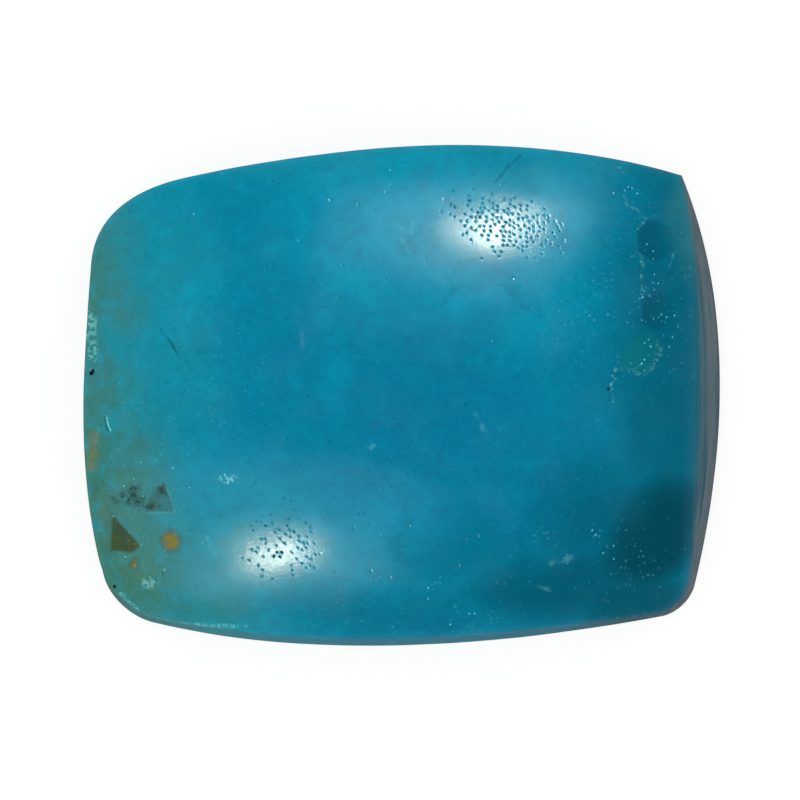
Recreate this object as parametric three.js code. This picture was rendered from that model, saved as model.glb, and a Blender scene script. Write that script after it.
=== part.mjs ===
// A blue opal cut by hand as a cushion cabochon: a smooth dome on steep side walls, with a flat
// ground back. It lies on the back, dome up. The stone is one piece.
//
// Millimetres. +X runs along the stone, towards the end with the sharp corner. +Y runs across it
// and +Z up. The origin is on the flat back, below the middle of the stone's bounding box.

import * as THREE from "three";
import { mergeVertices } from "three/addons/utils/BufferGeometryUtils.js";

const { lerp, smoothstep } = THREE.MathUtils;

// Driving dimensions. The girdle is the stone's widest line, and the shoulder is the soft ridge
// where a side wall turns over into the dome.
const HEIGHT = 5.8;
const GIRDLE_HEIGHT = 0.6;
const BACK_BEVEL = 0.35;
const SHOULDER_ROUND = 0.2;

// The girdle seen from above, anticlockwise from its one sharp corner. Each stretch is a cubic
// curve with a handle where it leaves, a handle where it arrives, and its end.
const SHARP_CORNER = [7.91, 6.22];
const GIRDLE_STRETCHES = [
  { leave: [3.33, 7.59], arrive: [-1.63, 7.11], end: [-6.19, 6.13] }, // far long edge
  { leave: [-7.42, 5.86], arrive: [-8.68, 5.19], end: [-8.78, 3.72] }, // wide round corner
  { leave: [-8.97, 0.88], arrive: [-9.22, -2.23], end: [-8.43, -5.12] }, // blunt end
  { leave: [-8.27, -5.71], arrive: [-7.66, -6.28], end: [-7.04, -6.43] }, // round corner
  { leave: [-2.49, -7.52], arrive: [2.75, -7.11], end: [7.35, -6.25] }, // near long edge
  { leave: [7.7, -6.19], arrive: [8.13, -5.86], end: [8.27, -5.43] }, // tight corner
  { leave: [9.18, -1.74], arrive: [9.45, 2.61], end: SHARP_CORNER }, // leaning end
];

// How far the shoulder stands inside the girdle: a little all round, more along the near edge and
// most at the leaning end.
const LEAST_LEAN = 0.05;
const NEAR_EDGE_LEAN = 0.22;
const END_LEAN = 0.72;
const NEAR_EDGE_SPAN = [4.5, 6.8];
const LEANING_END_SPAN = [6.8, 8.4];

// The dome. A section's fullness is 0 for a parabola and 1 for a flat top with steep sides.
const APEX = [-0.4, 0.1];
const HALF_LENGTH = 8.7;
const HALF_WIDTH = 7.05;
const EDGE_DROP = 3; // from the apex to the middle of an edge
const END_FULLNESS = 0.22;
const SIDE_FULLNESS = 0.2;
const CORNER_LIFT = 0.17; // as a share of the edge drop

// How finely the surface is faceted
const COLUMN_SPACING = 0.55;
const LEAST_COLUMNS = 5;
const WALL_RINGS = 2;
const SHOULDER_RINGS = 3;
const DOME_RINGS = 17;

const opalBlue = new THREE.MeshStandardMaterial({
  name: "opal",
  color: new THREE.Color(0x0e83a6),
  roughness: 0.2,
  metalness: 0,
});

// Points round the girdle, closer together on the tight corners. The last stretch ends where the
// first begins, so each stretch leaves its own end to the next one.
function girdlePoints() {
  let start = SHARP_CORNER;
  return GIRDLE_STRETCHES.flatMap(({ leave, arrive, end }) => {
    const curve = new THREE.CubicBezierCurve(
      ...[start, leave, arrive, end].map(([x, y]) => new THREE.Vector2(x, y)),
    );
    const steps = Math.max(LEAST_COLUMNS, Math.round(curve.getLength() / COLUMN_SPACING));
    start = end;
    return curve.getPoints(steps).slice(0, steps);
  });
}

// How far the wall leans in between the girdle and the shoulder, above one girdle point
function wallLean({ x, y }) {
  const nearEdge = smoothstep(-y, ...NEAR_EDGE_SPAN);
  const cornerFade = Math.max(0, 1 - (y / SHARP_CORNER[1]) ** 2);
  const leaningEnd = smoothstep(x, ...LEANING_END_SPAN) * cornerFade;
  return LEAST_LEAN + NEAR_EDGE_LEAN * nearEdge + END_LEAN * leaningEnd;
}

// Height of the dome above one point of the plan. A corner is lower than the edges beside it, but
// not by the whole of both their drops.
function domeHeight({ x, y }) {
  const along = ((x - APEX[0]) / HALF_LENGTH) ** 2;
  const across = ((y - APEX[1]) / HALF_WIDTH) ** 2;
  const endDrop = along * lerp(1, along, END_FULLNESS);
  const sideDrop = across * lerp(1, across, SIDE_FULLNESS);
  return HEIGHT - EDGE_DROP * (endDrop + sideDrop - CORNER_LIFT * along * across);
}

// The stone's section above one girdle point, from the back's middle out, up and in to the apex
function sectionThrough(girdle) {
  const apex = new THREE.Vector2(...APEX);
  const inward = apex.clone().sub(girdle).normalize();
  const shoulder = girdle.clone().addScaledVector(inward, wallLean(girdle));
  const raise = (plan, z) => new THREE.Vector3(plan.x, plan.y, z);
  const onDome = (share) => {
    const plan = apex.clone().lerp(shoulder, share);
    return raise(plan, domeHeight(plan));
  };

  const backEdge = raise(girdle.clone().addScaledVector(inward, BACK_BEVEL), 0);
  const girdleEdge = raise(girdle, GIRDLE_HEIGHT);
  const ridge = onDome(1);
  const wallTop = ridge.clone().lerp(girdleEdge, SHOULDER_ROUND / ridge.distanceTo(girdleEdge));
  const wall = new THREE.LineCurve3(girdleEdge, wallTop);
  const domeFoot = 1 - SHOULDER_ROUND / shoulder.distanceTo(apex);
  const roundedShoulder = new THREE.QuadraticBezierCurve3(wallTop, ridge, onDome(domeFoot));
  const dome = Array.from({ length: DOME_RINGS }, (_, ring) =>
    onDome(domeFoot * (1 - (ring + 1) / DOME_RINGS)),
  );
  return [
    new THREE.Vector3(0, 0, 0),
    backEdge,
    ...wall.getPoints(WALL_RINGS).slice(0, WALL_RINGS),
    ...roundedShoulder.getPoints(SHOULDER_RINGS),
    ...dome,
  ];
}

// The stone starts as a turned blank with one ring for each point of a section. Each column of
// the blank then takes the section above its own point of the girdle.
function cutStone() {
  const sections = girdlePoints().map(sectionThrough);
  const rings = sections[0].length;
  const blankProfile = Array.from(
    { length: rings },
    (_, ring) => new THREE.Vector2(Math.sin((Math.PI * ring) / (rings - 1)), ring),
  );
  const stone = new THREE.LatheGeometry(blankProfile, sections.length);
  const position = stone.getAttribute("position");
  for (let vertex = 0; vertex < position.count; vertex += 1) {
    const column = Math.floor(vertex / rings) % sections.length;
    const { x, y, z } = sections[column][vertex % rings];
    position.setXYZ(vertex, x, y, z);
  }
  stone.deleteAttribute("normal");
  stone.deleteAttribute("uv");
  const closed = mergeVertices(stone);
  closed.computeVertexNormals();
  closed.computeBoundingBox();
  const middle = closed.boundingBox.getCenter(new THREE.Vector3());
  return closed.translate(-middle.x, -middle.y, 0);
}

const opal = new THREE.Mesh(cutStone(), opalBlue);
opal.name = "opal";

const part = new THREE.Group();
part.add(opal);

export default part;
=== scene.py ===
"""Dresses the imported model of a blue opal: its worked surface, its colours and its pale stage."""

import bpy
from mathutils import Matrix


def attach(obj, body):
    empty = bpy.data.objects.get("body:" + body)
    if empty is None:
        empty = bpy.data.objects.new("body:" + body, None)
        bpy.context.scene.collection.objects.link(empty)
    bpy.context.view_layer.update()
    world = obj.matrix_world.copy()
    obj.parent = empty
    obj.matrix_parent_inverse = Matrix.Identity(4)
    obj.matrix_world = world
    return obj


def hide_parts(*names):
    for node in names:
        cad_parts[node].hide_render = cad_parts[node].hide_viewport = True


bl_info = {
    "name": "Blue Opal Cabochon",
    "version": (1, 0, 0),
    "blender": (4, 5, 0),
    "location": "3D View > Sidebar > Opal",
    "description": "Cuts, wears and colours a blue opal cabochon and sets its stage",
    "category": "Object",
}

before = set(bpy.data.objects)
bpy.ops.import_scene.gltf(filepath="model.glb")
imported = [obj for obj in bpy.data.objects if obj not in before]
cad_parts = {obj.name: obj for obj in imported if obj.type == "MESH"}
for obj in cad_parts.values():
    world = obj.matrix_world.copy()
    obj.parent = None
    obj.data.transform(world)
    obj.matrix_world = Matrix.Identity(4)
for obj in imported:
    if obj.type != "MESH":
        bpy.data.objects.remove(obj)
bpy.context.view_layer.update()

from functools import reduce

import bmesh
import bpy
import numpy as np
from bpy.props import FloatProperty, FloatVectorProperty, IntProperty, PointerProperty
from mathutils import Vector, kdtree, noise

# Shapes and markings are in millimetres, seen from above, with the stone's middle at (0, 0).
# Blender gets them in the frame's metres.
MM = 0.001

# The stone's form, as the part's source has it
HEIGHT = 5.8
GIRDLE_HEIGHT = 0.6
BACK_BEVEL = 0.35
SHOULDER_ROUND = 0.2
END_SOFTNESS = 0.25  # how much more the worn shoulder is rounded at the leaning end
SHARP_CORNER = (7.91, 6.22)
GIRDLE_STRETCHES = (
    ((3.33, 7.59), (-1.63, 7.11), (-6.19, 6.13)),  # far long edge
    ((-7.42, 5.86), (-8.68, 5.19), (-8.78, 3.72)),  # wide round corner
    ((-8.97, 0.88), (-9.22, -2.23), (-8.43, -5.12)),  # blunt end
    ((-8.27, -5.71), (-7.66, -6.28), (-7.04, -6.43)),  # round corner
    ((-2.49, -7.52), (2.75, -7.11), (7.35, -6.25)),  # near long edge
    ((7.7, -6.19), (8.13, -5.86), (8.27, -5.43)),  # tight corner
    ((9.18, -1.74), (9.45, 2.61), SHARP_CORNER),  # leaning end
)
ROUND_CORNERS = (1, 3, 5)  # their places in the list
LEAST_LEAN = 0.05
NEAR_EDGE_LEAN = 0.22
END_LEAN = 0.72
NEAR_EDGE_SPAN = (4.5, 6.8)
LEANING_END_SPAN = (6.8, 8.4)
APEX = (-0.4, 0.1)
HALF_LENGTH = 8.7
HALF_WIDTH = 7.05
EDGE_DROP = 3.0
END_FULLNESS = 0.22
SIDE_FULLNESS = 0.2
CORNER_LIFT = 0.17

# How finely the stone is meshed
COLUMNS = 276
ROWS = 214
SHOULDER_RINGS = 8
WALL_RINGS = 18
BEVEL_RINGS = 4
CURVE_STEPS = 240  # along each stretch of the girdle, before it is spaced evenly
GRID_STEP = 0.063  # from one dome vertex to the next
DOME_FOOT = 1.2  # marks of the dome stay above this height
LOWEST_PIT = 2.4  # no pit is cut where the dome is lower than this


# The settings that a user may change

def length(name, description, default, low, high):
    """A length that the panel shows. Its default and limits are given in millimetres."""
    return FloatProperty(
        name=name, description=description, default=default * MM, min=low * MM, max=high * MM,
        unit="LENGTH", precision=6,
    )


def amount(name, description, default):
    """A number of marks that the panel shows."""
    return IntProperty(name=name, description=description, default=default, min=0, max=1500)


def brightness(name, description, default):
    """A strength of light that the panel shows."""
    return FloatProperty(name=name, description=description, default=default, min=0)


def colour(name, description, value):
    """A colour that the panel shows."""
    return FloatVectorProperty(
        name=name, description=description, default=value, min=0, max=1, size=3, subtype="COLOR",
    )


class StoneSizes(bpy.types.PropertyGroup):
    """How the stone's surface is worked and worn"""

    waviness: length("Waviness", "How far polishing leaves it off an even curve", 0.012, 0, 0.1)
    pit_width: length("Pit width", "Pits are a third of this to twice as wide", 0.048, 0.01, 0.12)
    pit_depth: length("Pit depth", "Pits are a third of this to twice as deep", 0.05, 0, 0.2)
    pit_count: amount("Pits", "Number of dark pits in the two pitted patches", 430)
    faint_pit_count: amount("Faint pits", "Number of faint pits over the dome", 190)
    # The specks are painted glints
    speck_count: amount("Specks", "Number of pale specks over the dome", 430)


class StoneColours(bpy.types.PropertyGroup):
    """The colours in the stone"""

    teal: colour("Teal", "The body of the stone", (0.0, 0.28, 0.44))
    blue: colour("Blue", "The deep blue of the middle", (0.0, 0.228, 0.405))
    shallow: colour("Shallow", "The pale green-blue towards the blunt end", (0.008, 0.325, 0.42))
    # Milk is the milky clouds' colour, and also a painted glow round the far highlight
    milk_and_glow: colour("Milk", "The milky clouds", (0.0, 0.415, 0.62))
    dark: colour("Dark", "The darkest part of the leaning end", (0.0, 0.055, 0.085))
    moss: colour("Moss", "The green tint at the blunt end", (0.068, 0.22, 0.118))
    haze: colour("Haze", "The grey-green haze at the blunt end", (0.05, 0.265, 0.26))
    # Painted shade on the leaning side wall
    shade: colour("Shade", "The leaning side wall", (0.008, 0.10, 0.15))
    # A painted reflection of the pale table on the foot of the leaning side wall
    table_reflection_grey: colour("Slate", "The foot of the leaning side wall", (0.165, 0.18, 0.195))
    # Painted shade: the brownish darkening near the girdle, where the stone meets the table
    girdle_shade: colour("Umber", "The brown tint near the girdle", (0.14, 0.115, 0.10))
    amber: colour("Amber", "The orange spots", (0.30, 0.21, 0.008))
    olive: colour("Olive", "The olive wedge and the stains", (0.055, 0.08, 0.012))
    bottle: colour("Bottle", "The green in the olive wedge", (0.03, 0.08, 0.035))
    ash: colour("Ash", "The grey patch", (0.045, 0.15, 0.145))
    # Smoke is the dark smudges' colour, and also the painted shade along the foot of the leaning end
    smudge_and_rim_shade: colour("Smoke", "Dark smudges", (0.012, 0.05, 0.055))
    crevice: colour("Crevice", "Fine cracks", (0.002, 0.05, 0.075))
    pool: colour("Pool", "The dark pools of the leaning end", (0.0005, 0.10, 0.17))
    cell: colour("Cell", "The green cell in the leaning end", (0.005, 0.21, 0.215))
    vein: colour("Vein", "Veins in the leaning end", (0.12, 0.46, 0.47))
    # Chalk is the crusts' own pale colour, and also the painted glints of the bright specks and the painted
    # highlight along the shoulder
    chalk_and_highlight: colour("Chalk", "Bright specks and crusts", (0.22, 0.86, 0.88))
    # Glint gives the faint specks their painted glints, and the fine dust its colour
    glint: colour("Glint", "Faint specks and dust", (0.15, 0.66, 0.74))
    # Painted shade: the near-black inside of the pits and holes
    pit_shade: colour("Soot", "The inside of pits", (0.001, 0.012, 0.016))
    powder: colour("Powder", "The ground back", (0.20, 0.44, 0.52))


class StageSettings(bpy.types.PropertyGroup):
    """The camera, the table and the lamps"""

    camera_distance: length("Camera distance", "From the camera to the stone", 250, 50, 2000)
    picture_width: length("Picture width", "How much of the table the picture takes in", 22.5, 1, 500)
    lamp_distance: length("Lamp distance", "From each lamp to the stone", 150, 40, 2000)
    table_radius: length("Table radius", "Radius of the round table top", 600, 50, 2000)
    far_brightness: brightness("Far lamp", "Radiance in the middle of the far lamp", 52)
    near_brightness: brightness("Near lamp", "Radiance in the middle of the near lamp", 60)
    panel_brightness: brightness("Panels", "Radiance of the pale panels round the lamps", 0.52)
    room_light: brightness("Room light", "Even light on the stone from all round", 0.86)
    table_glow: brightness("Table glow", "Light that the lit table gives off", 0.8)


# The stone's form

def smooth(share):
    """0 below 0, 1 above 1, and an even S between them."""
    share = np.clip(share, 0, 1)
    return share * share * (3 - 2 * share)


def between(value, low, high):
    """Smooth share of the way from low to high."""
    return smooth((value - low) / (high - low))


def cubic(start, leave, arrive, end):
    """Points along one cubic curve, with its start and without its end."""
    t = np.linspace(0, 1, CURVE_STEPS, endpoint=False)[:, None]
    s = 1 - t
    start, leave, arrive, end = (np.array(place) for place in (start, leave, arrive, end))
    return s**3 * start + 3 * s**2 * t * leave + 3 * s * t**2 * arrive + t**3 * end


def girdle_edges():
    """The girdle as four evenly spaced edges, anticlockwise from the sharp corner."""
    starts = [SHARP_CORNER] + [end for _, _, end in GIRDLE_STRETCHES[:-1]]
    curves = [cubic(start, *stretch) for start, stretch in zip(starts, GIRDLE_STRETCHES)]
    outline = np.vstack(curves + [np.array([SHARP_CORNER])])
    steps = np.hypot(*np.diff(outline, axis=0).T)
    reached = np.concatenate([[0], np.cumsum(steps)])
    corners = [reached[int((place + 0.5) * CURVE_STEPS)] for place in ROUND_CORNERS]
    stops = [0, *corners, reached[-1]]
    edges = []
    for start, end, count in zip(stops, stops[1:], (COLUMNS, ROWS, COLUMNS, ROWS)):
        places = np.linspace(start, end, count + 1)
        along = [np.interp(places, reached, outline[:, axis]) for axis in (0, 1)]
        edges.append(np.column_stack(along))
    return edges


def dome_height(plan):
    """Height of the dome above points of the plan."""
    along = ((plan[..., 0] - APEX[0]) / HALF_LENGTH) ** 2
    across = ((plan[..., 1] - APEX[1]) / HALF_WIDTH) ** 2
    end_drop = along * (1 - END_FULLNESS + END_FULLNESS * along)
    side_drop = across * (1 - SIDE_FULLNESS + SIDE_FULLNESS * across)
    return HEIGHT - EDGE_DROP * (end_drop + side_drop - CORNER_LIFT * along * across)


def leaning_share(plan):
    """1 in the middle of the leaning end, 0 at its corners and on the rest of the girdle."""
    corner_fade = np.maximum(0, 1 - (plan[:, 1] / SHARP_CORNER[1]) ** 2)
    return between(plan[:, 0], *LEANING_END_SPAN) * corner_fade


def wall_lean(plan):
    """How far the wall leans in between the girdle and the shoulder."""
    near_edge = between(-plan[:, 1], *NEAR_EDGE_SPAN)
    return LEAST_LEAN + NEAR_EDGE_LEAN * near_edge + END_LEAN * leaning_share(plan)


def raised(plan, height):
    """Points of the plan, at a height."""
    return np.column_stack([plan, np.broadcast_to(height, len(plan))])


def rounded(start, corner, end, count):
    """Rings round a rounded edge, with the first and without the last."""
    rings = []
    for t in np.linspace(0, 1, count, endpoint=False):
        rings.append((1 - t) ** 2 * start + 2 * (1 - t) * t * corner + t**2 * end)
    return rings


def straight(start, end, count):
    """Rings from start to end, with the first and without the last."""
    return [start + (end - start) * t for t in np.linspace(0, 1, count, endpoint=False)]


def toward(start, end, distance):
    """Points that lie the given distance from start, on the way to end."""
    step = end - start
    return start + step * distance / np.linalg.norm(step, axis=1, keepdims=True)


def side_rings(girdle):
    """Rings of points from the dome's foot down over the shoulder, the wall and the bevel."""
    inward = np.array(APEX) - girdle
    inward /= np.linalg.norm(inward, axis=1, keepdims=True)
    shoulder = girdle + inward * wall_lean(girdle)[:, None]
    rounding = (SHOULDER_ROUND + END_SOFTNESS * leaning_share(girdle))[:, None]
    foot = shoulder + inward * rounding
    dome_foot = raised(foot, dome_height(foot))
    ridge = raised(shoulder, dome_height(shoulder))
    girdle_edge = raised(girdle, GIRDLE_HEIGHT)
    back_edge = raised(girdle + inward * BACK_BEVEL, 0)
    wall_top = toward(ridge, girdle_edge, rounding)
    wall_foot = toward(girdle_edge, ridge, SHOULDER_ROUND / 2)
    bevel_top = toward(girdle_edge, back_edge, SHOULDER_ROUND / 2)
    return [
        *rounded(dome_foot, ridge, wall_top, SHOULDER_RINGS),
        *straight(wall_top, wall_foot, WALL_RINGS),
        *rounded(wall_foot, girdle_edge, bevel_top, BEVEL_RINGS),
        *straight(bevel_top, back_edge, BEVEL_RINGS),
        back_edge,
    ]


def dome_grid(far, blunt, near, leaning):
    """Points of the plan that fill the four edges evenly, row by row from the near edge."""
    top, left, bottom, right = far[::-1], blunt[::-1], near, leaning
    u = np.linspace(0, 1, COLUMNS + 1)[None, :, None]
    v = np.linspace(0, 1, ROWS + 1)[:, None, None]
    along = (1 - v) * bottom[None] + v * top[None]
    across = (1 - u) * left[:, None] + u * right[:, None]
    near_line = (1 - u) * bottom[0] + u * bottom[-1]
    far_line = (1 - u) * top[0] + u * top[-1]
    return along + across - (1 - v) * near_line - v * far_line


def grid_border():
    """Indices of the grid's outer points, anticlockwise from the sharp corner."""
    index = np.arange((ROWS + 1) * (COLUMNS + 1)).reshape(ROWS + 1, COLUMNS + 1)
    far, blunt = index[-1, ::-1], index[::-1, 0]
    near, leaning = index[0], index[:, -1]
    return np.concatenate([edge[:-1] for edge in (far, blunt, near, leaning)])


def stone_surface():
    """Vertices and faces of the whole stone, in millimetres, before it is worn and pitted."""
    edges = girdle_edges()
    girdle = np.vstack([edge[:-1] for edge in edges])
    rings = side_rings(girdle)
    stops = np.cumsum([0] + [len(edge) - 1 for edge in edges])
    foot = np.vstack([rings[0], rings[0][:1]])[:, :2]
    plan = dome_grid(*[foot[start : end + 1] for start, end in zip(stops, stops[1:])])
    grid = np.dstack([plan, dome_height(plan)]).reshape(-1, 3)
    vertices = np.vstack([grid] + rings[1:])

    index = np.arange(len(grid)).reshape(ROWS + 1, COLUMNS + 1)
    faces = np.stack([index[:-1, :-1], index[:-1, 1:], index[1:, 1:], index[1:, :-1]], axis=-1)
    faces = faces.reshape(-1, 4).tolist()
    loops = [grid_border()]
    for ring in range(len(rings) - 1):
        loops.append(len(grid) + ring * len(girdle) + np.arange(len(girdle)))
    for upper, lower in zip(loops, loops[1:]):
        sides = np.stack([upper, lower, np.roll(lower, -1), np.roll(upper, -1)], axis=-1)
        faces += sides.tolist()
    faces.append(loops[-1][::-1].tolist())
    return vertices, faces


# Wear

# Hollows that are wider than a pit: place, radius and depth
HOLLOWS = (
    ((-8.70, 0.63), 0.07, 0.12),  # black hole by the crust
    ((-8.66, 0.70), 0.05, 0.10),
    ((-8.09, -5.38), 0.05, 0.10),
    ((5.74, 0.18), 0.05, 0.03),
)
# Where the crust of the blunt end is rough: place, half size and how far it stands up or down
CRUSTS = (
    ((-8.72, 1.95), (0.16, 0.40), 0.05),
    ((-8.66, 1.25), (0.13, 0.30), 0.04),
    ((-7.06, -5.24), (0.20, 0.16), 0.03),
    ((-4.83, -2.33), (0.26, 0.12), 0.02),
)
# Four wide pits close together in the near highlight, single specks, which are painted glints, and single
# dark pits
WIDE_PITS = ((-3.56, -4.47), (-3.48, -4.34), (-3.41, -4.47), (-3.34, -4.34))
# Bright specks: painted glints
BRIGHT_SPECKS = (
    (6.36, 5.86), (6.26, 5.76), (6.46, 5.82), (6.61, 5.67), (6.78, 1.46), (6.88, 1.56), (6.95, 1.37),
    (6.69, 0.89), (6.78, 1.00), (6.64, 0.60), (5.96, 0.46), (5.82, 0.31), (7.03, 4.04), (6.85, 4.23),
    (7.82, 4.90), (7.08, 3.40), (7.18, 3.14), (7.06, 2.95), (6.72, 2.74), (7.73, 1.93), (8.07, 1.65),
    (7.47, 1.36), (7.41, 2.19), (7.25, 2.26), (7.03, 2.15), (7.63, 2.24), (7.58, 1.63), (7.89, 2.95),
    (7.99, 3.50), (5.32, -3.78), (5.40, -3.90), (5.20, -3.68), (5.91, -4.20), (5.62, -4.40),
    (5.93, -4.57), (0.73, -5.36), (0.73, -5.67), (1.88, -6.09), (2.02, -6.09), (-0.98, -6.60),
    (1.35, -6.40), (1.15, -6.79), (-5.82, 5.08), (-5.06, -2.26), (-4.92, -2.20), (-4.73, -2.35),
    (-4.84, -2.42), (-7.24, -2.81), (-7.49, -2.33), (-7.79, -2.54), (-8.09, -3.38), (-7.31, -4.20),
    (-7.77, -4.53), (-7.98, -5.42), (-6.64, -4.88), (-6.40, -2.03), (-5.92, -2.57), (-7.31, -1.86),
    (-8.49, -3.58), (-7.72, -5.81), (3.83, -6.57), (2.73, 5.89), (-0.34, 6.31),
)
DARK_PITS = (
    (-4.47, -6.88), (3.66, -6.60), (-6.73, -5.02), (-6.93, -5.17), (-7.06, -5.29), (7.30, 2.68),
    (7.53, 3.39), (-3.63, 6.00), (2.91, 4.85), (1.86, 5.44), (2.11, 5.10), (2.16, 4.95),
    (3.54, 4.68), (2.48, 4.60), (-3.80, -3.62), (-2.98, -3.78), (-4.00, -4.75),
)
# Pits and specks lie in clusters: middle, half size, turn in degrees and share of the whole
WHOLE_DOME = ((-0.2, 0.1), (8.6, 7.0), 0, 1.0)
PIT_CLUSTERS = (
    ((2.85, 4.78), (1.50, 0.68), -14, 0.76),
    ((-3.40, -4.20), (1.20, 0.95), 0, 0.17),
)
# Clusters of specks, which are painted glints
SPECK_CLUSTERS = (
    ((7.35, 2.7), (0.55, 1.2), 0, 0.18),
    ((6.2, -4.7), (1.3, 0.9), 0, 0.12),
    ((-7.8, -3.2), (0.7, 2.2), 10, 0.14),
    ((5.4, 2.6), (1.2, 1.2), 0, 0.14),
    ((1.0, -5.9), (3.0, 0.7), 0, 0.08),
    ((-0.2, 0.1), (8.6, 7.0), 0, 0.34),
)
PIT_LEAN = (0.45, 0.9)  # the way in which most pits are drawn out
PIT_RIM = 0.12  # how wide a pit's sloping rim is, as a share of the pit
SIZE_CLASSES = 6
LEAST_SIZE = 0.3  # of the smallest class, as a share of the set size
# What the small faces of a pit or speck are, as their number in the mesh
FAINT_PIT, DARK_PIT, FAINT_SPECK, BRIGHT_SPECK = 1, 2, 3, 4
# The pits and specks listed one by one: what they are, where, and their size beside the set one
SINGLE_MARKS = (
    (DARK_PIT, WIDE_PITS, 2.1),
    (DARK_PIT, DARK_PITS, 1.3),
    (BRIGHT_SPECK, BRIGHT_SPECKS, 1.5),
)
# The waves of the polish: how wide they are, how high beside the broad ones, and a noise seed
WAVES = ((3.2, 1.0, 1), (1.1, 0.3, 5))
ROUGHNESS_SIZE = 0.14  # how wide the lumps of a rough crust are


def coherent(point, scale, seed):
    """Smooth noise of about -1 to 1 at a point, in lumps of about the given size."""
    return noise.noise(Vector(point) / scale + Vector((seed, 2.3 * seed, 0.7 * seed)))


def wear(vertices, normals, sizes):
    """Moves the even surface in and out as hand polishing, hollows and crusts leave it."""
    waviness = sizes.waviness / MM
    lift = np.empty(len(vertices))
    for i, point in enumerate(vertices):
        lift[i] = waviness * sum(high * coherent(point, wide, seed) for wide, high, seed in WAVES)
    lift[vertices[:, 2] < GIRDLE_HEIGHT / 2] = 0
    on_dome = vertices[:, 2] > DOME_FOOT
    for (x, y), radius, depth in HOLLOWS:
        share = np.hypot(vertices[:, 0] - x, vertices[:, 1] - y) / radius
        lift -= on_dome * depth * smooth(1.4 - share)
    for (x, y), half_size, rough in CRUSTS:
        share = np.hypot(*((vertices[:, :2] - (x, y)) / half_size).T)
        for i in np.flatnonzero(on_dome & (share < 1.3)):
            lift[i] += rough * smooth(1.3 - share[i]) * (coherent(vertices[i], ROUGHNESS_SIZE, 9) - 0.5)
    return vertices + normals * lift[:, None]


def cluster_places(clusters, count, dice):
    """Random places on the dome, gathered in elliptical clusters."""
    places = []
    for middle, half_size, turn, share in clusters:
        number = int(count * share)
        way = dice.uniform(0, 2 * np.pi, number)
        reach = dice.uniform(0, 1, number) ** 0.5 * dice.uniform(0.5, 1.4, number)
        offset = np.column_stack([np.cos(way), np.sin(way)]) * reach[:, None] * np.array(half_size)
        angle = np.radians(turn)
        turned = np.array([[np.cos(angle), np.sin(angle)], [-np.sin(angle), np.cos(angle)]])
        spread = np.array(middle) + offset @ turned
        places.append(spread[dome_height(spread) > LOWEST_PIT])
    return np.vstack(places)


class Marker:
    """Picks dome vertices that are free to become a pit or a speck."""

    def __init__(self, bm):
        self.bm = bm
        bm.verts.ensure_lookup_table()
        self.dome = (ROWS + 1) * (COLUMNS + 1)
        self.tree = kdtree.KDTree(self.dome)
        for i in range(self.dome):
            x, y, _ = bm.verts[i].co
            self.tree.insert((x, y, 0), i)
        self.tree.balance()
        self.taken = np.zeros((ROWS + 1, COLUMNS + 1), bool)

    def pick(self, place):
        """The nearest dome vertex, or None where that is at the rim or beside a taken one."""
        _, i, _ = self.tree.find((place[0] * MM, place[1] * MM, 0))
        row, column = divmod(i, COLUMNS + 1)
        if not (2 <= row <= ROWS - 2 and 2 <= column <= COLUMNS - 2):
            return None
        if self.taken[row - 1 : row + 2, column - 1 : column + 2].any():
            return None
        self.taken[row, column] = True
        vertex = self.bm.verts[i]
        step = Vector((place[0] * MM - vertex.co.x, place[1] * MM - vertex.co.y, 0))
        step.length = min(step.length, 0.4 * GRID_STEP * MM)
        vertex.co += step - vertex.normal * step.dot(vertex.normal)
        return vertex

    def pick_all(self, places):
        """The free vertices nearest to the places, moved a little so that they stand in no rows."""
        picked = [self.pick(place) for place in places]
        return [vertex for vertex in picked if vertex]


def cut_facets(bm, vertices, width, dice):
    """Cuts the tip off each vertex, and gives the small uneven faces that this leaves."""
    cut = bmesh.ops.bevel(
        bm, geom=vertices, offset=width / 2, offset_type="OFFSET", segments=1, affect="VERTICES",
        clamp_overlap=True,
    )
    for face in cut["faces"]:
        middle = face.calc_center_median()
        lean = Vector((*PIT_LEAN, 0)) + Vector((*dice.normal(0, 0.4, 2), 0))
        lean.normalize()
        long, short = dice.uniform(1.0, 1.3), dice.uniform(0.45, 1.0)
        for vertex in face.verts:
            arm = vertex.co - middle
            along = lean * arm.dot(lean)
            vertex.co = middle + along * long + (arm - along) * short * dice.uniform(0.8, 1.2)
    return cut["faces"]


def pick_marks(marker, sizes, dice):
    """Every pit and speck: what they are, their vertices, and their size beside the set one."""
    marks = [(kind, marker.pick_all(places), share) for kind, places, share in SINGLE_MARKS]
    for kind, clusters, number in (
        (DARK_PIT, PIT_CLUSTERS, sizes.pit_count),
        (FAINT_PIT, (WHOLE_DOME,), sizes.faint_pit_count),
        (FAINT_SPECK, SPECK_CLUSTERS, sizes.speck_count),
    ):
        picked = marker.pick_all(cluster_places(clusters, number, dice))
        for size in range(SIZE_CLASSES):
            share = LEAST_SIZE + (1 - LEAST_SIZE) * (size / SIZE_CLASSES) ** 2
            marks.append((kind, picked[size::SIZE_CLASSES], share))
    return marks


def note_faces(faces, layer, kind):
    """Stores what the faces are, and shades them flat."""
    for face in faces:
        face[layer] = kind
        face.smooth = False


def cut_pits_and_specks(bm, sizes):
    """Opens the pits and sets the specks into the dome, each as real faces."""
    dice = np.random.default_rng(7)
    marks = pick_marks(Marker(bm), sizes, dice)
    what = bm.faces.layers.float.new("what")
    for kind, picked, share in marks:
        width, depth = sizes.pit_width * share, sizes.pit_depth * share
        faces = cut_facets(bm, picked, width, dice)
        note_faces(faces, what, kind)
        if kind in (FAINT_PIT, DARK_PIT):
            sunk = bmesh.ops.inset_individual(bm, faces=faces, thickness=width * PIT_RIM, depth=-depth)
            note_faces(sunk["faces"], what, kind)


# The stone's colours, place by place

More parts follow.
